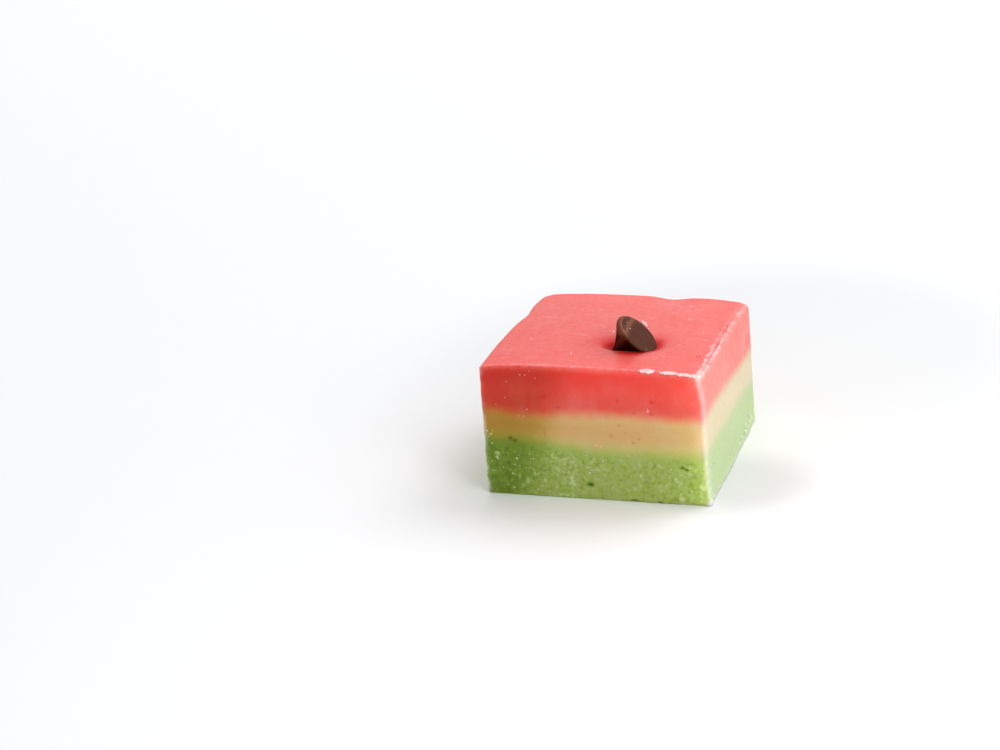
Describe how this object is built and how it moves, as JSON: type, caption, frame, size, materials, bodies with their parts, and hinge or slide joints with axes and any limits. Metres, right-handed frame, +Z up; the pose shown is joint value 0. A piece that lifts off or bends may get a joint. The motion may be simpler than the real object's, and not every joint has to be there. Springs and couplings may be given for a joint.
{
  "type": "watermelon fudge",
  "caption": "Cut square of soft sweet in poured bands of pink, cream and green that run right through, with a small chocolate chip lying pressed into its top.",
  "frame": {"origin": "under the middle of the square, on the surface that it stands on", "axes": "+Z up through the layers, +X across the cut front face to the right, +Y from the front face to the back"},
  "size_m": [0.0303, 0.0295, 0.0213],
  "materials": {
    "pink_fudge": "satin, smooth and slightly moist, with faint pale scuffs",
    "cream_fudge": "satin, smooth knife-cut face with a few small pits",
    "green_fudge": "matt and crumbly, with pale sugar grains and pits",
    "chocolate": "soft satin with a pale scuff across the flat base"
  },
  "bodies": {
    "root": {"pink_layer": "pink_fudge", "cream_layer": "cream_fudge", "green_layer": "green_fudge", "chocolate_chip": "chocolate"}
  },
  "joints": []
}
